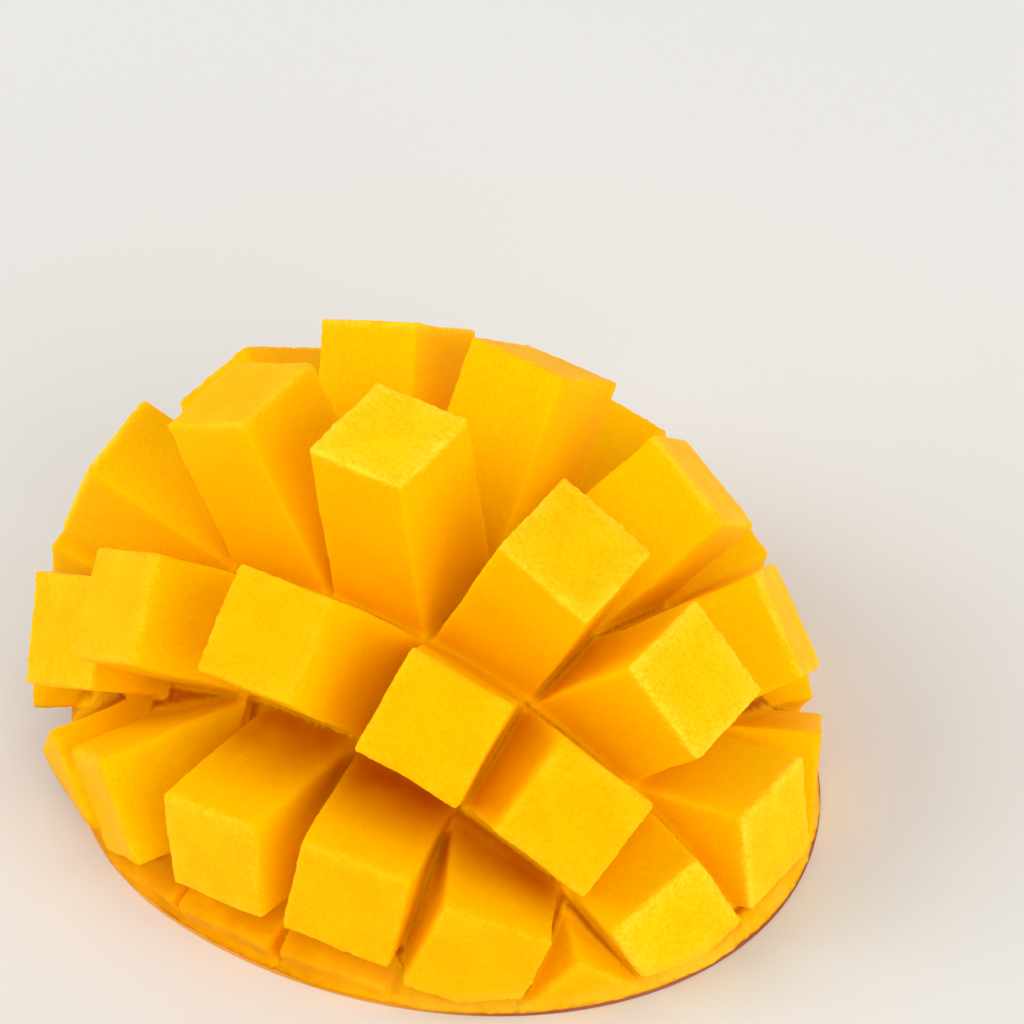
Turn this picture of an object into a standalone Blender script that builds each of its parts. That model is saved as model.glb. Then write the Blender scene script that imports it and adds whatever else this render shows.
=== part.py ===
# Half of a mango, scored in a grid down to its skin and pushed inside out.
# Each column of flesh keeps the shape it had in the flat half: the cut face on
# top, the knife's cuts for sides and the curve of the skin below. The skin now
# stands up as a dome, and every column stands square on it. Metres, +Z up, the
# rim of the skin on z = 0 and the long way of the fruit along X, with its
# blunt end at -X. Sizes are from the middle of the dome until the last step.
import math
import random

import bmesh
import bpy
from mathutils import Matrix, Vector

# The half as it was cut from the fruit. The skin is a bowl whose outline is a
# half ellipse toward +X and a longer one toward -X, cut short by a blunt end.
# A bowl's roundness is 0 where it meets the cut square and near 1 where flat.
LONG_FRONT = 0.0605
LONG_BACK = 0.0560
WIDE = 0.0460
DEEP = 0.0285
BOWL_ROUND = 0.57
BLUNT_END = 0.0475
BLUNT_WIDE = 0.0460
BLUNT_DEEP = 0.0360
BLUNT_FRONT = 0.1000

# The same skin once it is turned out to a dome.
DOME_HIGH = 0.0311
DOME_STRETCH = 1.015
DOME_ROUND = 0.59

# The web of skin and uncut flesh under the columns, thin at the rim.
WEB_TOP = 0.0014
RIM_THICK = 0.0014
RIM_ROUNDER = 0.06
ROOT_BELOW = 0.0030

# The knife's grid: the size of a square, the turn of the grid from the long
# way of the fruit, and where one crossing of the cuts lies.
CELL_A = 0.01605
CELL_B = 0.01605
GRID_TURN = math.radians(11.0)
CROSS_A = 0.0100
CROSS_B = -0.0089
KERF = 0.00015

# Scraps of a square smaller than this share of it come away with the knife.
SMALLEST = 0.05
SOFT_EDGE = 0.0005
SAMPLES = 8

# Unevenness of the hand. Every column has a small random lean, and some have
# more: degrees of turn about the A cuts, the B cuts and the column itself.
LEAN = math.radians(1.0)
SEED = 11
LEANS = {(-3, -2): (-12, -10, 0), (-3, -1): (20, 34, 32), (-3, 0): (0, -10, 1),
         (-2, -2): (-4, -22, -15), (-2, -1): (0, -3, -2), (-2, 0): (-4, 0, -2), (-2, 1): (-2, 5, 1),
         (-1, -2): (4, -1, 1), (-1, -1): (-2, 0, 2), (-1, 0): (2, -5, -1), (-1, 1): (-2, -4, 0),
         (0, -2): (0, 1, 3), (0, -1): (2, 4, 3), (0, 0): (3, 2, 0), (0, 1): (-3, 2, 0),
         (1, -2): (-2, -6, 1), (1, -1): (-1, -4, 0), (1, 0): (6, -5, -3), (1, 1): (2, -5, 2),
         (2, -1): (-2, 1, 0), (2, 0): (3, 2, -4)}

# What brings the middle of the whole half's box over the origin.
HOME = Vector((-0.00242, 0.00037, 0))

SEGMENTS = 80
RINGS = 56
FLESH = (1.0, 0.62, 0.03, 1.0)


def clear_scene():
    for thing in list(bpy.data.objects):
        bpy.data.objects.remove(thing, do_unlink=True)


def bowl(x, y, stretch, deep, roundness):
    """Depth of the bowl of skin at a place, with its slope along x and y."""
    long = (LONG_FRONT if x > 0 else LONG_BACK) * stretch
    wide = WIDE * stretch
    curve = 1 - roundness ** 2
    inside = min((x / long) ** 2 + (y / wide) ** 2, 0.97)
    root = math.sqrt(1 - curve * inside)
    slope = -deep * curve / (root * (1 - roundness))
    depth = deep * (root - roundness) / (1 - roundness)
    return depth, slope * x / long ** 2, slope * y / wide ** 2


def egg(front, back, wide, deep, middle):
    """A closed egg: an ellipsoid whose two ends along X differ in length."""
    mesh = bmesh.new()
    bmesh.ops.create_uvsphere(mesh, u_segments=SEGMENTS, v_segments=RINGS, radius=1.0)
    for vert in mesh.verts:
        vert.co.x *= front if vert.co.x > 0 else back
    bmesh.ops.scale(mesh, vec=(1, wide, deep), verts=mesh.verts)
    bmesh.ops.translate(mesh, vec=(0, 0, middle), verts=mesh.verts)
    return mesh


def bowl_mesh(rim, deep, roundness, side, stretch=1.0):
    """The bowl as a solid, flat on z = 0 and bulging up for side 1, down for -1."""
    spread = math.sqrt(1 - roundness ** 2)
    mesh = egg((LONG_FRONT * stretch + rim) / spread, (LONG_BACK * stretch + rim) / spread,
               (WIDE * stretch + rim) / spread, deep / (1 - roundness),
               -side * deep * roundness / (1 - roundness))
    cut_off(mesh, Vector((0, 0, 0)), Vector((0, 0, -side)))
    return mesh


def cut_off(mesh, point, outward):
    """Slice away what lies on the outward side of a plane, and close the cut."""
    whole = mesh.verts[:] + mesh.edges[:] + mesh.faces[:]
    cut = bmesh.ops.bisect_plane(mesh, geom=whole, dist=1e-7, plane_co=point, plane_no=outward,
                                 clear_outer=True)
    loop = [piece for piece in cut["geom_cut"] if isinstance(piece, bmesh.types.BMEdge)]
    if loop:
        bmesh.ops.contextual_create(mesh, geom=loop)


def add_object(name, mesh):
    data = bpy.data.meshes.new(name)
    bmesh.ops.recalc_face_normals(mesh, faces=mesh.faces[:])
    mesh.to_mesh(data)
    mesh.free()
    thing = bpy.data.objects.new(name, data)
    bpy.context.collection.objects.link(thing)
    return thing


def boolean(thing, operation, **target):
    step = thing.modifiers.new(operation.lower(), "BOOLEAN")
    step.operation = operation
    for name, value in target.items():
        setattr(step, name, value)
    bpy.context.view_layer.objects.active = thing
    bpy.ops.object.modifier_apply(modifier=step.name)


def combine(thing, operation, mesh):
    """Join, take away or intersect one helper solid, which is then removed."""
    helper = add_object("helper", mesh)
    boolean(thing, operation, object=helper, solver="MANIFOLD")
    bpy.data.objects.remove(helper, do_unlink=True)


def blunt_end(stretch, rim, deep):
    return egg(BLUNT_FRONT, BLUNT_END * stretch + rim, BLUNT_WIDE * stretch + rim, deep, 0)


def on_grid(along, across):
    """A place in the flat half from its distances along the two cuts."""
    turn, other = math.cos(GRID_TURN), math.sin(GRID_TURN)
    return Vector((turn * along - other * across, other * along + turn * across, 0))


def blunt_depth(place):
    long = BLUNT_FRONT if place.x > 0 else BLUNT_END
    left = 1 - (place.x / long) ** 2 - (place.y / BLUNT_WIDE) ** 2
    return BLUNT_DEEP * math.sqrt(max(left, 0.0))


def in_outline(place):
    long = LONG_FRONT if place.x > 0 else LONG_BACK
    return (place.x / long) ** 2 + (place.y / WIDE) ** 2 < 1 and blunt_depth(place) > 0


def square_share(i, j):
    """The middle of what the outline leaves of a square, and how much it is."""
    middle, kept = Vector((0, 0, 0)), 0
    for step in range(SAMPLES * SAMPLES):
        share_a = (step % SAMPLES + 0.5) / SAMPLES
        share_b = (step // SAMPLES + 0.5) / SAMPLES
        place = on_grid(CROSS_A + CELL_A * (i + share_a), CROSS_B + CELL_B * (j + share_b))
        if in_outline(place):
            middle += place
            kept += 1
    return middle / max(kept, 1), kept / SAMPLES ** 2


def turned_out(middle, turns):
    """The move that carries a column from the flat half to the dome."""
    depth, slope_x, slope_y = bowl(middle.x, middle.y, 1.0, DEEP, BOWL_ROUND)
    foot = Vector((middle.x, middle.y, -min(depth, blunt_depth(middle))))
    inward = Vector((slope_x, slope_y, 1)).normalized()
    spread = middle * DOME_STRETCH
    height, rise_x, rise_y = bowl(spread.x, spread.y, DOME_STRETCH, DOME_HIGH, DOME_ROUND)
    outward = Vector((-rise_x, -rise_y, 1)).normalized()
    seat = Vector((spread.x, spread.y, height))
    turn = inward.rotation_difference(outward).to_matrix().to_4x4()
    for angle, axis in zip(turns, (on_grid(1, 0), on_grid(0, 1), outward)):
        turn = Matrix.Rotation(angle, 4, axis) @ turn
    return Matrix.Translation(seat) @ turn @ Matrix.Translation(-foot)


def make_column(flat, i, j, turns):
    """One square of the flat half, cut out by four planes and set on the dome."""
    middle, share = square_share(i, j)
    if share < SMALLEST:
        return None
    column = bmesh.new()
    column.from_mesh(flat.data)
    low = on_grid(CROSS_A + CELL_A * i + KERF, CROSS_B + CELL_B * j + KERF)
    high = on_grid(CROSS_A + CELL_A * (i + 1) - KERF, CROSS_B + CELL_B * (j + 1) - KERF)
    for point, outward in ((low, on_grid(-1, 0)), (high, on_grid(1, 0)),
                           (low, on_grid(0, -1)), (high, on_grid(0, 1))):
        cut_off(column, point, outward)
    soften_edges(column)
    bmesh.ops.transform(column, matrix=turned_out(middle, turns), verts=column.verts)
    return add_object("column", column)


def soften_edges(column):
    """Take the sharpness off the edges round the cut face and down the sides."""
    sharp = [edge for edge in column.edges
             if edge.calc_face_angle(0) > math.radians(40)
             and (any(abs(face.normal.z) > 0.99 for face in edge.link_faces)
                  or all(abs(face.normal.z) < 0.01 for face in edge.link_faces))]
    bmesh.ops.bevel(column, geom=sharp, offset=SOFT_EDGE, affect="EDGES", segments=1, profile=0.5,
                    material=-1, clamp_overlap=True)


def make_flat_half():
    """The half before it is turned out, with spare depth for the roots."""
    flat = add_object("flat", bowl_mesh(0, DEEP + ROOT_BELOW, BOWL_ROUND, -1))
    combine(flat, "INTERSECT", blunt_end(1.0, 0, BLUNT_DEEP))
    return flat


def make_web():
    """The dome of skin with the uncut flesh on it, still solid inside."""
    web = add_object("web", bowl_mesh(RIM_THICK, DOME_HIGH + WEB_TOP, DOME_ROUND - RIM_ROUNDER, 1,
                                      DOME_STRETCH))
    combine(web, "INTERSECT", blunt_end(DOME_STRETCH, RIM_THICK, 10 * BLUNT_DEEP))
    return web


def make_ground():
    """What is cut away below the rim, so that the half stands level."""
    ground = bmesh.new()
    bmesh.ops.create_cube(ground, size=0.4)
    bmesh.ops.translate(ground, vec=(0, 0, -0.2), verts=ground.verts)
    return ground


def make_flesh_material():
    material = bpy.data.materials.new("flesh")
    material.use_nodes = True
    shader = material.node_tree.nodes["Principled BSDF"]
    shader.inputs["Base Color"].default_value = FLESH
    shader.inputs["Roughness"].default_value = 0.45
    shader.inputs["Metallic"].default_value = 0.0
    material.diffuse_color = FLESH
    return material


def make_columns(flat):
    random.seed(SEED)
    columns = bpy.data.collections.new("columns")
    bpy.context.scene.collection.children.link(columns)
    for i in range(-5, 5):
        for j in range(-4, 5):
            turns = [random.uniform(-LEAN, LEAN) + math.radians(more)
                     for more in LEANS.get((i, j), (0, 0, 0))]
            column = make_column(flat, i, j, turns)
            if column:
                bpy.context.collection.objects.unlink(column)
                columns.objects.link(column)
    return columns


def make_mango_half():
    flat = make_flat_half()
    columns = make_columns(flat)
    half = make_web()
    boolean(half, "UNION", operand_type="COLLECTION", collection=columns, solver="MANIFOLD")
    for thing in list(columns.objects) + [flat]:
        bpy.data.objects.remove(thing, do_unlink=True)
    bpy.data.collections.remove(columns)
    combine(half, "DIFFERENCE", bowl_mesh(0, DOME_HIGH, DOME_ROUND, 1, DOME_STRETCH))
    combine(half, "DIFFERENCE", make_ground())
    half.data.transform(Matrix.Translation(HOME))
    half.name = half.data.name = "mango_half"
    half.data.materials.append(make_flesh_material())
    half.data.shade_smooth()
    half.data.set_sharp_from_angle(angle=math.radians(30))
    return half


clear_scene()
mango_half = make_mango_half()
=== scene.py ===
# Half a mango cut into blocks and pushed inside out: the fanned flesh and the skin under it
import math
import random

import bmesh
import bpy
import numpy as np
from mathutils import Matrix, Vector, noise


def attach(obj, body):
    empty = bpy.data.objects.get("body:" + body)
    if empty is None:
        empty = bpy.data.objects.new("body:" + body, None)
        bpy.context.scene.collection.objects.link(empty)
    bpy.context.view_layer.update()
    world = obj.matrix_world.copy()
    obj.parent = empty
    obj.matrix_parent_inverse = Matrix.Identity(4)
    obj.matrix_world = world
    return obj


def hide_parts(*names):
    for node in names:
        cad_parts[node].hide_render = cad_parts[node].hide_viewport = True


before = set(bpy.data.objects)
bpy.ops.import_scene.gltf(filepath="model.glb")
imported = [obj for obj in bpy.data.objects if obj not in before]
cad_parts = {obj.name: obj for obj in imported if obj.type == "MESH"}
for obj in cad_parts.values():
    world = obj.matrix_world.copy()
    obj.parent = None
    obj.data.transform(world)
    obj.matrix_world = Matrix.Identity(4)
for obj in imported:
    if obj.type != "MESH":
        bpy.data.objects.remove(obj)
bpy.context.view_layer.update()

# How the half was cut and turned out, in metres. The same sizes as the solid has.
half = {
    "longFront": 0.0605, "longBack": 0.0560, "wide": 0.0460, "deep": 0.0285, "bowlRound": 0.57,
    "bluntEnd": 0.0475, "bluntWide": 0.0460, "bluntDeep": 0.0360, "bluntFront": 0.1000,
    "domeHigh": 0.0311, "domeStretch": 1.015, "domeRound": 0.59, "rimThick": 0.0014,
    "cell": 0.01605, "gridTurn": math.radians(11.0), "crossA": 0.0100, "crossB": -0.0089,
    "smallest": 0.05, "rootBelow": 0.0030, "samples": 8, "lean": math.radians(1.0), "seed": 11,
    "home": Vector((-0.00242, 0.00037, 0)),
}
# Extra degrees that some columns lean, about the two cuts and about themselves
leans = {
    (-3, -2): (-12, -10, 0), (-3, -1): (20, 34, 32), (-3, 0): (0, -10, 1),
    (-2, -2): (-4, -22, -15), (-2, -1): (0, -3, -2), (-2, 0): (-4, 0, -2), (-2, 1): (-2, 5, 1),
    (-1, -2): (4, -1, 1), (-1, -1): (-2, 0, 2), (-1, 0): (2, -5, -1), (-1, 1): (-2, -4, 0),
    (0, -2): (0, 1, 3), (0, -1): (2, 4, 3), (0, 0): (3, 2, 0), (0, 1): (-3, 2, 0),
    (1, -2): (-2, -6, 1), (1, -1): (-1, -4, 0), (1, 0): (6, -5, -3), (1, 1): (2, -5, 2),
    (2, -1): (-2, 1, 0), (2, 0): (3, 2, -4),
}


# Where the columns stand

def bowlAt(x, y, stretch, deep, roundness):
    # depth of the bowl of skin at a place, with its slope along x and y
    long = (half["longFront"] if x > 0 else half["longBack"]) * stretch
    wide = half["wide"] * stretch
    curve = 1 - roundness ** 2
    root = math.sqrt(1 - curve * min((x / long) ** 2 + (y / wide) ** 2, 0.97))
    slope = -deep * curve / (root * (1 - roundness))
    return deep * (root - roundness) / (1 - roundness), slope * x / long ** 2, slope * y / wide ** 2


def onGrid(along, across):
    turn, other = math.cos(half["gridTurn"]), math.sin(half["gridTurn"])
    return Vector((turn * along - other * across, other * along + turn * across, 0))


def bluntDepth(place):
    long = half["bluntFront"] if place.x > 0 else half["bluntEnd"]
    left = 1 - (place.x / long) ** 2 - (place.y / half["bluntWide"]) ** 2
    return half["bluntDeep"] * math.sqrt(max(left, 0.0))


def inOutline(place):
    long = half["longFront"] if place.x > 0 else half["longBack"]
    return (place.x / long) ** 2 + (place.y / half["wide"]) ** 2 < 1 and bluntDepth(place) > 0


def squareMiddle(i, j):
    # middle of what the outline leaves of a square, and its share of the square
    samples, middle, kept = half["samples"], Vector((0, 0, 0)), 0
    for step in range(samples ** 2):
        along = half["crossA"] + half["cell"] * (i + (step % samples + 0.5) / samples)
        across = half["crossB"] + half["cell"] * (j + (step // samples + 0.5) / samples)
        place = onGrid(along, across)
        if inOutline(place):
            middle += place
            kept += 1
    return middle / max(kept, 1), kept / samples ** 2


def turnedOut(middle, turns):
    # the move that carries a column from the flat half to the dome
    depth, slopeX, slopeY = bowlAt(middle.x, middle.y, 1.0, half["deep"], half["bowlRound"])
    foot = Vector((middle.x, middle.y, -min(depth, bluntDepth(middle))))
    spread = middle * half["domeStretch"]
    height, riseX, riseY = bowlAt(spread.x, spread.y, half["domeStretch"], half["domeHigh"],
                                  half["domeRound"])
    outward = Vector((-riseX, -riseY, 1)).normalized()
    turn = Vector((slopeX, slopeY, 1)).normalized().rotation_difference(outward).to_matrix().to_4x4()
    for angle, axis in zip(turns, (onGrid(1, 0), onGrid(0, 1), outward)):
        turn = Matrix.Rotation(angle, 4, axis) @ turn
    seat = Vector((spread.x, spread.y, height)) + half["home"]
    return Matrix.Translation(seat) @ turn @ Matrix.Translation(-foot)


def domeHeights(spots):
    place = spots - np.array(half["home"])
    curve = 1 - half["domeRound"] ** 2
    long = np.where(place[:, 0] > 0, half["longFront"], half["longBack"]) * half["domeStretch"]
    inside = (place[:, 0] / long) ** 2 + (place[:, 1] / (half["wide"] * half["domeStretch"])) ** 2
    root = np.sqrt(1 - curve * np.minimum(inside, 1))
    return half["domeHigh"] * (root - half["domeRound"]) / (1 - half["domeRound"])


def findColumns():
    random.seed(half["seed"])
    columns = []
    for i in range(-5, 5):
        for j in range(-4, 5):
            turns = [random.uniform(-half["lean"], half["lean"]) + math.radians(more)
                     for more in leans.get((i, j), (0, 0, 0))]
            middle, share = squareMiddle(i, j)
            if share >= half["smallest"]:
                columns.append((i, j, turnedOut(middle, turns)))
    return columns


def bowlDepths(local):
    # how deep the flat half's bowl is under each point
    curve = 1 - half["bowlRound"] ** 2
    root = np.sqrt(1 - curve * np.minimum(outlineShare(local), 1))
    return half["deep"] * (root - half["bowlRound"]) / (1 - half["bowlRound"])


def outlineShare(local, stretch=1.0):
    # 0 in the middle of the outline and 1 on it
    front = local[:, 0] > 0
    long = np.where(front, half["longFront"], half["longBack"]) * stretch
    blunt = np.where(front, half["bluntFront"], half["bluntEnd"] * stretch)
    across = (local[:, 1] / (half["wide"] * stretch)) ** 2
    return np.maximum((local[:, 0] / long) ** 2, (local[:, 0] / blunt) ** 2) + across


def flatPlaces(spots, columns):
    # for every point: its column, where it lay in the flat half, and how far it is out of that column
    best = np.full(len(spots), 1e9)
    flat = np.zeros((len(spots), 3))
    share = np.zeros((len(spots), 2))
    number = np.zeros(len(spots), int)
    turn, other = math.cos(half["gridTurn"]), math.sin(half["gridTurn"])
    for count, (i, j, move) in enumerate(columns):
        back = np.array(move.inverted())
        local = spots @ back[:3, :3].T + back[:3, 3]
        a = (turn * local[:, 0] + other * local[:, 1] - half["crossA"]) / half["cell"] - i
        b = (turn * local[:, 1] - other * local[:, 0] - half["crossB"]) / half["cell"] - j
        out = (np.maximum(abs(a - 0.5), abs(b - 0.5)) - 0.5) * half["cell"]
        out = np.maximum(out, np.maximum(local[:, 2], -half["rootBelow"] - bowlDepths(local) - local[:, 2]))
        nearer = out < best
        best[nearer] = out[nearer]
        flat[nearer] = local[nearer]
        share[nearer] = np.stack((a[nearer], b[nearer]), 1)
        number[nearer] = count
    return number, flat, share, best


# Meshes to and from numbers

def readSpots(mesh):
    spots = np.zeros(len(mesh.vertices) * 3)
    mesh.vertices.foreach_get("co", spots)
    return spots.reshape(-1, 3)


def readNormals(mesh):
    normals = np.zeros(len(mesh.vertices) * 3)
    mesh.vertex_normals.foreach_get("vector", normals)
    return normals.reshape(-1, 3)


def noiseAt(spots, size, offset=0.0):
    # smooth noise of about -0.5 to 0.5 whose lumps are about size across
    scaled = spots / size + offset
    return np.fromiter((noise.noise(Vector(spot)) for spot in scaled), float, len(scaled))


def smoothstep(low, high, values):
    share = np.clip((values - low) / (high - low), 0, 1)
    return share * share * (3 - 2 * share)


def applyModifier(thing, kind, **settings):
    step = thing.modifiers.new(kind.lower(), kind)
    for name, value in settings.items():
        setattr(step, name, value)
    bpy.context.view_layer.objects.active = thing
    bpy.ops.object.modifier_apply(modifier=step.name)


def newObject(name, mesh):
    data = bpy.data.meshes.new(name)
    mesh.to_mesh(data)
    mesh.free()
    thing = bpy.data.objects.new(name, data)
    bpy.context.scene.collection.objects.link(thing)
    return thing


# The flesh

flesh = {
    "voxel": 0.00040, "smoothing": 1, "triangles": 190000, "apart": 0.013,
    "mealy": 0.00005, "mealySize": 0.0009, "wavy": 0.00030, "wavySize": 0.0090,
    "ragged": 0.00015, "raggedSize": 0.0009, "finerShare": 0.5, "finerSize": 0.45,
    "raggedSwing": 1.6, "raggedInward": 0.35, "lipHigh": 0.0003,
    "raggedWide": 0.0007, "paleWide": 0.0013, "cornerHighlightWide": 0.0012, "shortest": 0.006,
    "paleEdge": 0.15, "footShadeReach": 0.0030, "footShade": 0.30,
}
# Where each mask of the flesh begins and where it is full, in metres
maskSpan = {
    "cutFace": (0.0002, 0.0010), "ragged": (0, 0.0016), "pale": (0.0003, 0.0011),
    "webOut": (0.0001, 0.0006), "webWide": (0.0009, 0.0020), "webHigh": (0.0020, 0.0050),
    "rimHigh": (0.0012, 0.0030),
}
# The same as a share of the outline, of a wall's height or of a block's width
maskShare = {
    "rim": (0.93, 1.0), "cutRim": (0.90, 1.0), "shadeDown": (0.05, 1.0), "shadeAcross": (0.45, 0.95),
}
# Columns whose top edges are frayed and pale, and how much so, from 0 to 1
frayed = {
    (-3, -1): 0.4, (-3, 0): 0.9, (-2, 0): 0.3, (-2, -1): 0.3, (-1, 0): 1.0, (-1, -2): 0.4, (0, 0): 0.6,
    (0, 1): 0.5, (1, -1): 0.2, (1, 0): 0.9, (1, 1): 0.8, (2, -1): 0.9, (2, 0): 1.0, (-2, 1): 0.6,
}
# Columns whose walls get painted shade from their neighbours, and how much so
shaded = {
    (-3, -2): 0.35, (-2, -2): 0.45, (-1, -2): 0.85, (0, -2): 1.0, (1, -2): 0.9, (0, -1): 0.2, (1, -1): 0.35,
}
# The low slabs along the front of the rim, painted a darker orange as shade under the blocks' overhang
shadedSlabs = {(-2, -3): 0.8, (-1, -3): 0.8, (0, -3): 0.8}


def risen(span, values):
    return smoothstep(*span, values)


def fallen(span, values):
    return 1 - smoothstep(*span, values)


def fading(reach, distances):
    return np.exp(-np.maximum(distances, 0) / reach)


def perColumn(values, columns, missing=0):
    return np.array([values.get((i, j), missing) for i, j, move in columns])


def fleshMasks(spots, columns):
    number, flat, share, out = flatPlaces(spots, columns)
    wall = np.minimum(share, 1 - share) * half["cell"]  # how far in from the two pairs of walls
    near, far = wall.min(1), wall.max(1)
    down, deep = -flat[:, 2], bowlDepths(flat)
    root = np.clip(down / np.maximum(deep, flesh["shortest"]), 0, 1)
    cutFace = fallen(maskSpan["cutFace"], down)
    onRim = risen(maskShare["rim"], outlineShare(spots - np.array(half["home"]), half["domeStretch"]))
    onRim *= fallen(maskSpan["rimHigh"], spots[:, 2])
    cutRim = risen(maskShare["cutRim"], outlineShare(flat)) * cutFace
    # painted shade: walls darken near the columns' roots by the skin and under neighbouring blocks
    foot = fading(flesh["footShadeReach"], deep - down) * flesh["footShade"]
    shade = risen(maskShare["shadeDown"], root) * risen(maskShare["shadeAcross"], share[:, 1])
    shade *= perColumn(shaded, columns)[number]
    web = risen(maskSpan["webOut"], out) * fallen(maskSpan["webHigh"], spots[:, 2] - domeHeights(spots))
    return {
        "number": number, "flat": flat, "cutFace": cutFace, "root": root,
        "edge": fading(flesh["raggedWide"], near) * fallen(maskSpan["ragged"], down),
        "pale": fading(flesh["paleWide"], near) * fallen(maskSpan["pale"], down),
        # painted highlight: walls lighter along the columns' vertical edges
        "cornerHighlight": fading(flesh["cornerHighlightWide"], far) * (1 - cutFace),
        "paintedWallShade": np.maximum(foot, shade) * (1 - cutFace),
        "rim": np.maximum(np.maximum(cutRim, onRim), perColumn(shadedSlabs, columns)[number]),
        "web": web * fallen(maskSpan["webWide"], out),
    }


def placesApart(masks):
    # places in the flat half, moved so that no two columns share their bumps
    return masks["flat"] + masks["number"][:, None] * flesh["apart"]


def makeFlesh(columns):
    start = bmesh.new()
    start.from_mesh(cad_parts["mango_half"].data)
    bmesh.ops.remove_doubles(start, verts=start.verts, dist=1e-6)
    piece = newObject("mangoFlesh", start)
    applyModifier(piece, "REMESH", mode="VOXEL", voxel_size=flesh["voxel"], adaptivity=0.0)
    applyModifier(piece, "SMOOTH", factor=0.5, iterations=flesh["smoothing"])
    mesh = piece.data
    spots, normals = readSpots(mesh), readNormals(mesh)
    masks = fleshMasks(spots, columns)
    ragged = noiseAt(spots, flesh["raggedSize"])
    ragged += flesh["finerShare"] * noiseAt(spots, flesh["raggedSize"] * flesh["finerSize"])
    push = flesh["ragged"] * masks["edge"] * (ragged * flesh["raggedSwing"] - flesh["raggedInward"])
    push += flesh["mealy"] * noiseAt(spots, flesh["mealySize"], 7.0)
    push += flesh["wavy"] * noiseAt(placesApart(masks), flesh["wavySize"], 3.0)
    spots += normals * push[:, None]
    spots[:, 2] = np.maximum(spots[:, 2], flesh["lipHigh"])  # room for the skin's lip below
    mesh.vertices.foreach_set("co", spots.ravel())
    mesh.update()
    applyModifier(piece, "DECIMATE", ratio=flesh["triangles"] / (2 * len(mesh.polygons)))
    storeMasks(piece.data, columns)
    piece.data.shade_smooth()
    return piece


def storeValues(mesh, name, kind, field, values):
    made = mesh.attributes.new(name, kind, "POINT")
    made.data.foreach_set(field, np.ravel(values))


def storeMasks(mesh, columns):
    masks = fleshMasks(readSpots(mesh), columns)
    random.seed(half["seed"] + 1)
    tones = np.array([random.random() for column in columns])[masks["number"]]
    fray = perColumn(frayed, columns, flesh["paleEdge"])[masks["number"]]
    full = np.ones(len(mesh.vertices))
    faceMasks = np.stack((masks["cutFace"], masks["pale"] * fray, masks["root"], full), 1)
    placeMasks = np.stack((masks["cornerHighlight"], masks["rim"], masks["web"], full), 1)
    storeValues(mesh, "flatPlace", "FLOAT_VECTOR", "vector", placesApart(masks))
    storeValues(mesh, "faceMasks", "FLOAT_COLOR", "color", faceMasks)
    storeValues(mesh, "placeMasks", "FLOAT_COLOR", "color", placeMasks)
    storeValues(mesh, "columnTone", "FLOAT", "value", tones)
    storeValues(mesh, "paintedWallShade", "FLOAT", "value", masks["paintedWallShade"])
    storeValues(mesh, "dryness", "FLOAT", "value", fray)


# The skin

skin = {
    "cells": 150, "thick": 0.00024, "seatBelow": 0.0030,
    "below": 0.00040, "least": 0.0001, "calmRing": 0.06,
    "crease": 0.00030, "creaseWide": 0.0011, "pillow": 0.00035, "lumps": 0.00012, "lumpSize": 0.006,
    "edgeStart": 0.2,
}


def outlineReach(angle):
    # how far the dome's rim is from its middle, in a direction
    stretch = half["domeStretch"]
    cosine, sine = math.cos(angle), math.sin(angle)
    long = half["longFront"] if cosine > 0 else half["longBack"]
    blunt = half["bluntFront"] if cosine > 0 else half["bluntEnd"]
    bluntStretch = 1 if cosine > 0 else stretch
    reach = 1 / math.hypot(cosine / (long * stretch), sine / (half["wide"] * stretch))
    cut = 1 / math.hypot(cosine / (blunt * bluntStretch), sine / (half["bluntWide"] * stretch))
    return min(reach, cut)


def makeSkin():
    mesh = bmesh.new()
    bmesh.ops.create_grid(mesh, x_segments=skin["cells"], y_segments=skin["cells"], size=1.0)
    for vert in mesh.verts:
        u, v = vert.co.x, vert.co.y
        x, y = u * math.sqrt(1 - v * v / 2), v * math.sqrt(1 - u * u / 2)  # the square made round
        angle, ring = math.atan2(y, x), min(math.hypot(x, y), 1.0)
        reach = outlineReach(angle) * ring
        vert.co = Vector((reach * math.cos(angle), reach * math.sin(angle), 0))
        high = bowlAt(vert.co.x, vert.co.y, half["domeStretch"], half["domeHigh"], half["domeRound"])[0]
        vert.co.z = max(high - skinRelief(vert.co, ring), 0)
    rim = [edge for edge in mesh.edges if edge.is_boundary]
    for vert in {vert for edge in rim for vert in edge.verts}:
        if vert.co.z < skin["seatBelow"]:
            vert.co.z = skin["thick"]  # the rim comes down to the floor, and the blunt end stays up
    grown = bmesh.ops.extrude_edge_only(mesh, edges=rim)
    for vert in [part for part in grown["geom"] if isinstance(part, bmesh.types.BMVert)]:
        reach = vert.co.xy.length
        wider = (reach + half["rimThick"]) / reach
        vert.co.x *= wider
        vert.co.y *= wider
    bmesh.ops.recalc_face_normals(mesh, faces=mesh.faces)
    if sum(face.normal.z for face in mesh.faces) > 0:
        bmesh.ops.reverse_faces(mesh, faces=mesh.faces)
    bmesh.ops.solidify(mesh, geom=mesh.faces[:], thickness=-skin["thick"])
    for vert in mesh.verts:
        vert.co.z = max(vert.co.z, 0)
    bmesh.ops.translate(mesh, vec=half["home"], verts=mesh.verts)
    bmesh.ops.recalc_face_normals(mesh, faces=mesh.faces)
    piece = newObject("mangoSkin", mesh)
    spots = readSpots(piece.data)
    storeValues(piece.data, "skinEdge", "FLOAT", "value", [skinEdge(spot) for spot in spots])
    piece.data.shade_smooth()
    return piece


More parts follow.
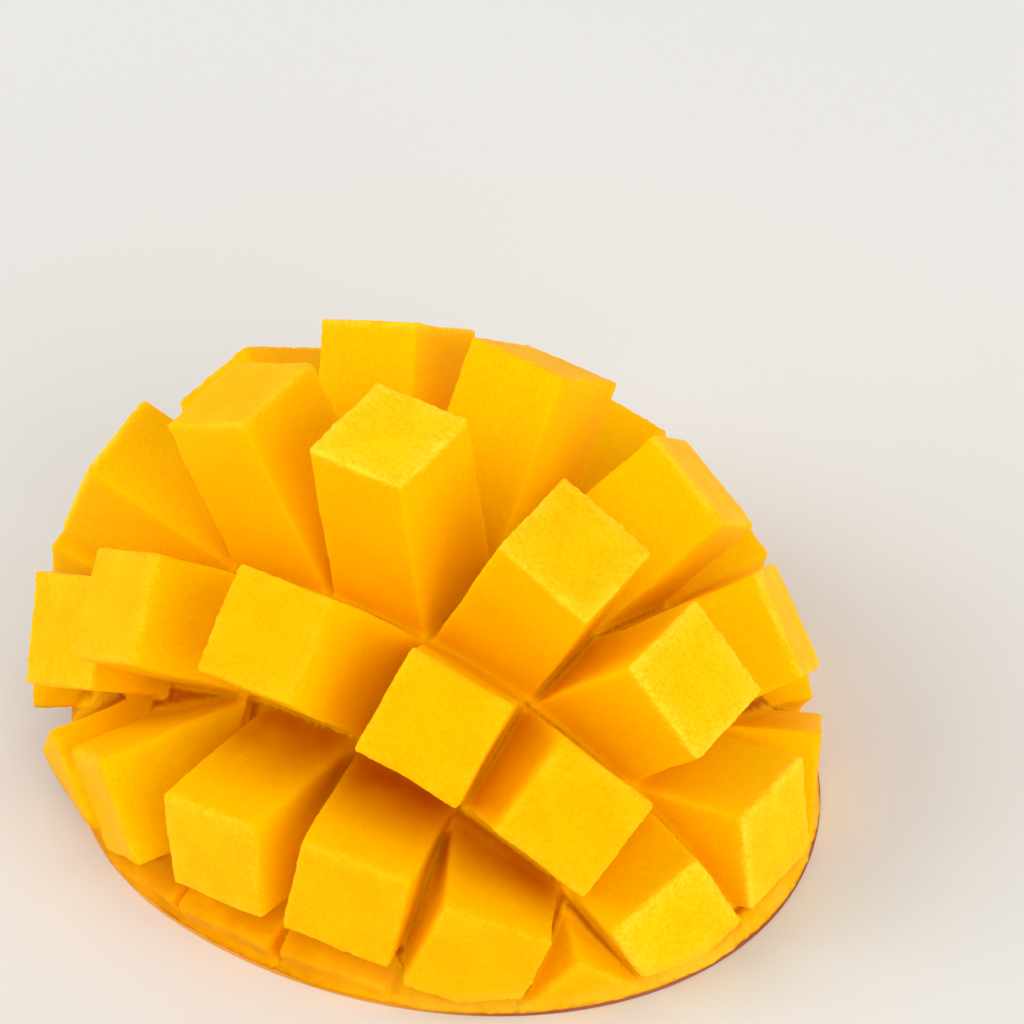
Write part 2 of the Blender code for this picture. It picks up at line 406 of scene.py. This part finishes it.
def skinRelief(spot, ring):
    # puckers under the cuts, pillows between them, and slow lumps
    flat = spot / half["domeStretch"]
    turn, other = math.cos(half["gridTurn"]), math.sin(half["gridTurn"])
    a = (turn * flat.x + other * flat.y - half["crossA"]) / half["cell"] % 1
    b = (turn * flat.y - other * flat.x - half["crossB"]) / half["cell"] % 1
    near = min(a, 1 - a, b, 1 - b) * half["cell"]
    crease = skin["crease"] * math.exp(-(near / skin["creaseWide"]) ** 2)
    pillow = skin["pillow"] * math.sin(math.pi * a) * math.sin(math.pi * b)
    lumps = skin["lumps"] * noise.noise(spot / skin["lumpSize"])
    fade = min((1 - ring) / skin["calmRing"], 1)
    return (pillow - crease + lumps + skin["below"]) * fade + skin["least"]


def skinEdge(spot):
    place = Vector(spot) - half["home"]
    reach = outlineReach(math.atan2(place.y, place.x))
    return min(max((place.xy.length - reach) / half["rimThick"] + skin["edgeStart"], 0), 1)


# Materials

def addNode(tree, kind, **settings):
    node = tree.nodes.new(kind)
    for name, value in settings.items():
        setattr(node, name, value)
    return node


def feed(tree, node, **inputs):
    # sets or links a node's inputs, by name with spaces written as _, or by number as in0, in1 and so on
    for name, value in inputs.items():
        socket = node.inputs[int(name[2:]) if name.startswith("in") else name.replace("_", " ")]
        if isinstance(value, bpy.types.NodeSocket):
            tree.links.new(value, socket)
        else:
            socket.default_value = value
    return node


def maths(tree, operation, first, second=0.0, third=0.0, clamp=False):
    node = addNode(tree, "ShaderNodeMath", operation=operation, use_clamp=clamp)
    return feed(tree, node, in0=first, in1=second, in2=third).outputs[0]


def stepMask(tree, value, low, high):
    node = addNode(tree, "ShaderNodeMapRange", interpolation_type="SMOOTHSTEP")
    return feed(tree, node, Value=value, From_Min=low, From_Max=high).outputs[0]


def mixColor(tree, share, first, second):
    node = addNode(tree, "ShaderNodeMix", data_type="RGBA")
    return feed(tree, node, in0=share, in6=first, in7=second).outputs[2]


def noiseNode(tree, place, scale, detail=3.0, roughness=0.55):
    node = addNode(tree, "ShaderNodeTexNoise")
    return feed(tree, node, Vector=place, Scale=scale, Detail=detail, Roughness=roughness).outputs["Fac"]


def readAttribute(tree, name, output):
    return addNode(tree, "ShaderNodeAttribute", attribute_name=name).outputs[output]


def splitColor(tree, color):
    return feed(tree, addNode(tree, "ShaderNodeSeparateColor"), Color=color).outputs


def mottleGroup():
    # slow clouds and fine grain of fruit, for the flesh and for the skin
    group = bpy.data.node_groups.new("fruitMottle", "ShaderNodeTree")
    for name, kind in (("Place", "NodeSocketVector"), ("Cloud Size", "NodeSocketFloat"),
                       ("Grain Size", "NodeSocketFloat")):
        group.interface.new_socket(name, in_out="INPUT", socket_type=kind)
    for name in ("Clouds", "Grain", "Height"):
        group.interface.new_socket(name, in_out="OUTPUT", socket_type="NodeSocketFloat")
    source, result = addNode(group, "NodeGroupInput"), addNode(group, "NodeGroupOutput")
    cloudScale = maths(group, "DIVIDE", 1.0, source.outputs["Cloud Size"])
    grainScale = maths(group, "DIVIDE", 1.0, source.outputs["Grain Size"])
    clouds = noiseNode(group, source.outputs["Place"], cloudScale)
    grain = noiseNode(group, source.outputs["Place"], grainScale, 4.0, 0.65)
    height = maths(group, "MULTIPLY_ADD", clouds, 0.5, grain)
    feed(group, result, Clouds=clouds, Grain=grain, Height=height)
    return group


def addMottle(tree, group, place, cloudSize, grainSize):
    node = addNode(tree, "ShaderNodeGroup", node_tree=group)
    return feed(tree, node, Place=place, Cloud_Size=cloudSize, Grain_Size=grainSize).outputs


def newMaterial(name):
    material = bpy.data.materials.new(name)
    material.use_nodes = True
    tree = material.node_tree
    return material, tree, tree.nodes["Principled BSDF"]


def colorRamp(tree, value, stops):
    node = addNode(tree, "ShaderNodeValToRGB")
    ramp = node.color_ramp
    while len(ramp.elements) < len(stops):
        ramp.elements.new(0.5)
    for element, (place, color) in zip(ramp.elements, stops):
        element.position = place
        element.color = color
    return feed(tree, node, Fac=value).outputs["Color"]


fleshLook = {
    "faceBright": (1.0, 0.485, 0.0, 1), "faceDull": (1.0, 0.42, 0.0, 1), "faceDry": (1.0, 0.65, 0.003, 1),
    # the wall colours on the next line darken towards the roots: partly the flesh's deeper colour near the
    # skin, partly painted shade
    "wallTop": (1.0, 0.55, 0.0, 1), "wallMiddle": (0.96, 0.55, 0.0, 1), "wallRoot": (0.90, 0.51, 0.0, 1),
    # the second colour on the next line, a dark brown, is painted shade at the walls' roots and under
    # neighbouring blocks
    "wallGrain": (0.86, 0.40, 0.0, 1), "wallShadeBrown": (0.50, 0.115, 0.0, 1),
    # the glow on the next line is a painted glow: faint orange emission standing in for light shining
    # through the flesh
    "glow": (0.8, 0.36, 0.0, 1), "noGlow": (0, 0, 0, 1), "glowStrength": 0.12,
    # the last colour on the next line is painted shade, for the front rim and the low slabs under the
    # blocks' overhang
    "fringe": (1.0, 0.70, 0.05, 1), "rim": (1.0, 0.53, 0.02, 1), "rimFrontShade": (0.74, 0.25, 0.0, 1),
    # the first colour on the next line is painted shade, laid on the uncut web at the bottom of the grooves
    "grooveShade": (0.55, 0.15, 0.0, 1), "rimFrom": 0.020, "rimTo": 0.044,
    "cloudSize": 0.005, "grainSize": 0.00058, "bump": 0.00022,
}


def fleshMaterial(mottle):
    look = fleshLook
    material, tree, shader = newMaterial("mangoFleshLook")
    place = readAttribute(tree, "flatPlace", "Vector")
    cutFace, edge, root = splitColor(tree, readAttribute(tree, "faceMasks", "Color"))[:3]
    cornerHighlight, rim, web = splitColor(tree, readAttribute(tree, "placeMasks", "Color"))[:3]
    tone = readAttribute(tree, "columnTone", "Fac")
    clouds, grain, height = addMottle(tree, mottle, place, look["cloudSize"], look["grainSize"])[:3]
    # walls darken towards their roots: partly the flesh's deeper colour near the skin, partly painted shade
    # of the grooves; clouds and the column's own tone vary it
    deeper = maths(tree, "MULTIPLY_ADD", maths(tree, "SUBTRACT", clouds, 0.5), 0.35, root)
    deeper = maths(tree, "MULTIPLY_ADD", maths(tree, "SUBTRACT", tone, 0.5), 0.16, deeper)
    walls = colorRamp(tree, deeper, ((0.0, look["wallTop"]), (0.4, look["wallMiddle"]),
                                     (1.0, look["wallRoot"])))
    # painted shade: walls turn dark brown at their roots and where neighbouring blocks shade them
    paintedWallShade = maths(tree, "MULTIPLY", readAttribute(tree, "paintedWallShade", "Fac"),
                     maths(tree, "MULTIPLY_ADD", clouds, 0.4, 0.8), clamp=True)
    coarse = stepMask(tree, grain, 0.62, 0.38)
    walls = mixColor(tree, maths(tree, "MULTIPLY", coarse, 0.35), walls, look["wallGrain"])
    walls = mixColor(tree, paintedWallShade, walls, look["wallShadeBrown"])
    speckle = stepMask(tree, maths(tree, "MULTIPLY_ADD", grain, 1.6, clouds), 0.95, 1.65)
    faces = mixColor(tree, speckle, look["faceDull"], look["faceBright"])
    dryness = maths(tree, "MULTIPLY", readAttribute(tree, "dryness", "Fac"),
                    maths(tree, "MULTIPLY_ADD", speckle, 0.5, 0.4))
    faces = mixColor(tree, dryness, faces, look["faceDry"])
    color = mixColor(tree, cutFace, walls, faces)
    # painted highlight: walls lighter along the columns' vertical edges
    color = mixColor(tree, maths(tree, "MULTIPLY", cornerHighlight, 0.35), color, look["wallTop"])
    patches = stepMask(tree, maths(tree, "MULTIPLY_ADD", clouds, 0.8, grain), 0.70, 1.05)
    pale = maths(tree, "MULTIPLY", edge, patches)
    color = mixColor(tree, maths(tree, "MULTIPLY", pale, 0.9, clamp=True), color, look["fringe"])
    along = feed(tree, addNode(tree, "ShaderNodeSeparateXYZ"),
                 Vector=addNode(tree, "ShaderNodeTexCoord").outputs["Object"]).outputs["X"]
    # the rim keeps its pale colour, but its front part and the low slabs get a darker orange as painted
    # shade
    fromFront = stepMask(tree, along, look["rimFrom"], look["rimTo"])
    rimColor = mixColor(tree, fromFront, look["rimFrontShade"], look["rim"])
    color = mixColor(tree, maths(tree, "MULTIPLY", rim, stepMask(tree, clouds, 0.1, 0.7)), color, rimColor)
    # painted shade: the uncut web at the bottom of the grooves is painted dark
    dark = maths(tree, "MULTIPLY", web, maths(tree, "SUBTRACT", 1.0, rim, clamp=True))
    color = mixColor(tree, dark, color, look["grooveShade"])
    bump = feed(tree, addNode(tree, "ShaderNodeBump"), Strength=0.6, Distance=look["bump"], Height=height)
    # painted glow: a faint orange emission standing in for light through the flesh, left off where shade is
    # painted
    glow = mixColor(tree, maths(tree, "MAXIMUM", dark, paintedWallShade), look["glow"], look["noGlow"])
    feed(tree, shader, Base_Color=color, Normal=bump.outputs[0], Emission_Color=glow,
         Roughness=maths(tree, "MULTIPLY_ADD", grain, 0.25, 0.42))
    shader.subsurface_method = "BURLEY"
    feed(tree, shader, Subsurface_Weight=0.5, Subsurface_Scale=0.004, Subsurface_Radius=(1.0, 0.45, 0.10),
         IOR=1.38, Specular_IOR_Level=0.06, Specular_Tint=(1.0, 0.72, 0.10, 1),
         Emission_Strength=look["glowStrength"])
    return material


skinLook = {
    "red": (0.60, 0.035, 0.012, 1), "orange": (0.86, 0.24, 0.02, 1), "yellow": (0.80, 0.46, 0.04, 1),
    "green": (0.36, 0.40, 0.05, 1), "dot": (0.93, 0.62, 0.22, 1),
    "edge": (0.88, 0.34, 0.0, 1), "edgeRight": (0.42, 0.09, 0.02, 1), "edgeFrom": 0.030, "edgeTo": 0.050,
    "cloudSize": 0.022, "grainSize": 0.0012, "dotSize": 0.0042, "bump": 0.00006,
    "blushTurn": -7.0,
}


def skinMaterial(mottle):
    look = skinLook
    material, tree, shader = newMaterial("mangoSkinLook")
    place = addNode(tree, "ShaderNodeTexCoord").outputs["Object"]
    edge = readAttribute(tree, "skinEdge", "Fac")
    clouds, grain, height = addMottle(tree, mottle, place, look["cloudSize"], look["grainSize"])[:3]
    along = feed(tree, addNode(tree, "ShaderNodeSeparateXYZ"), Vector=place).outputs["X"]
    blush = maths(tree, "MULTIPLY_ADD", along, look["blushTurn"], 0.5)
    blush = maths(tree, "MULTIPLY_ADD", maths(tree, "SUBTRACT", clouds, 0.5), 1.1, blush)
    blush = maths(tree, "MULTIPLY_ADD", maths(tree, "SUBTRACT", grain, 0.5), 0.25, blush)
    color = colorRamp(tree, blush, ((0.0, look["red"]), (0.4, look["orange"]),
                                    (0.7, look["yellow"]), (1.0, look["green"])))
    cells = addNode(tree, "ShaderNodeTexVoronoi")
    feed(tree, cells, Vector=place, Scale=1 / look["dotSize"])
    dots = maths(tree, "SUBTRACT", 1.0, stepMask(tree, cells.outputs["Distance"], 0.05, 0.10))
    color = mixColor(tree, maths(tree, "MULTIPLY", dots, 0.7), color, look["dot"])
    toRight = stepMask(tree, along, look["edgeFrom"], look["edgeTo"])
    edgeColor = mixColor(tree, toRight, look["edge"], look["edgeRight"])
    edge = stepMask(tree, edge, 0.3, 0.7)
    color = mixColor(tree, edge, color, edgeColor)
    height = maths(tree, "MULTIPLY_ADD", dots, 1.5, height)
    bump = feed(tree, addNode(tree, "ShaderNodeBump"), Strength=0.5, Distance=look["bump"], Height=height)
    feed(tree, shader, Base_Color=color, Normal=bump.outputs[0],
         Roughness=maths(tree, "MULTIPLY_ADD", grain, 0.2, 0.30))
    feed(tree, shader, Subsurface_Weight=0.1, Subsurface_Scale=0.001, IOR=1.42, Coat_Roughness=0.2,
         Coat_Weight=maths(tree, "MULTIPLY_ADD", edge, -0.2, 0.2))
    return material


# Floor, lights and camera

room = {
    "floorSize": 3.0, "floorColor": (0.80, 0.79, 0.76, 1), "sky": (1.0, 0.99, 0.97, 1), "skyStrength": 0.57,
    "lights": (("key", (-0.62, -0.65, 0.70), 0.9, 6.7), ("fill", (0.98, -0.12, 0.46), 0.9, 5.9),
               ("back", (-0.35, 0.95, 0.35), 0.6, 2.0)),
}
# The camera: where the middle of the dome is in the picture, and how large a metre is there
shot = {
    "azimuth": -39.8, "elevation": 42.2, "roll": -5.65, "distance": 1.387,
    "picture": 1024, "pixelsPerMetre": 7123, "middleX": 421.7, "middleY": 742.6, "sensor": 36,
}


def makeFloor():
    mesh = bmesh.new()
    bmesh.ops.create_grid(mesh, x_segments=1, y_segments=1, size=room["floorSize"] / 2)
    floor = newObject("floor", mesh)
    material, tree, shader = newMaterial("floorLook")
    feed(tree, shader, Base_Color=room["floorColor"], Roughness=0.6)
    floor.data.materials.append(material)


def makeLights():
    world = bpy.data.worlds.new("studio")
    bpy.context.scene.world = world
    world.use_nodes = True
    sky = world.node_tree.nodes["Background"]
    feed(world.node_tree, sky, Color=room["sky"], Strength=room["skyStrength"])
    for name, spot, size, power in room["lights"]:
        data = bpy.data.lights.new(name, "AREA")
        data.size, data.energy = size, power
        lamp = bpy.data.objects.new(name, data)
        lamp.location = spot
        lamp.rotation_euler = (-Vector(spot)).to_track_quat("-Z", "Y").to_euler()
        bpy.context.scene.collection.objects.link(lamp)


def makeCamera():
    azimuth, elevation, roll = (math.radians(shot[name]) for name in ("azimuth", "elevation", "roll"))
    back = Vector((math.cos(elevation) * math.cos(azimuth), math.cos(elevation) * math.sin(azimuth),
                   math.sin(elevation)))
    right = Vector((0, 0, 1)).cross(back).normalized()
    up = back.cross(right)
    side = math.cos(roll) * right + math.sin(roll) * up
    top = math.cos(roll) * up - math.sin(roll) * right
    centre = shot["picture"] / 2
    target = (side * (centre - shot["middleX"]) + top * (shot["middleY"] - centre)) / shot["pixelsPerMetre"]
    spot = back * shot["distance"]
    look = (spot - target).normalized()
    side = top.cross(look).normalized()
    top = look.cross(side)
    spot += half["home"]
    data = bpy.data.cameras.new("camera")
    data.sensor_width = shot["sensor"]
    data.lens = shot["pixelsPerMetre"] * shot["distance"] / shot["picture"] * shot["sensor"]
    data.clip_start = 0.01
    camera = bpy.data.objects.new("camera", data)
    bpy.context.scene.collection.objects.link(camera)
    camera.matrix_world = Matrix((side, top, look)).transposed().to_4x4()
    camera.location = spot
    bpy.context.scene.camera = camera


def buildAll():
    columns = findColumns()
    print("columns:", len(columns))
    mottle = mottleGroup()
    dressed = ((makeFlesh(columns), fleshMaterial(mottle)), (makeSkin(), skinMaterial(mottle)))
    for piece, material in dressed:
        piece.data.materials.clear()
        piece.data.materials.append(material)
        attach(piece, "root")
        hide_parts("mango_half")
        print(piece.name, len(piece.data.polygons), "faces")
    makeFloor()
    makeLights()
    makeCamera()
    bpy.context.scene.view_settings.view_transform = "Standard"


buildAll()
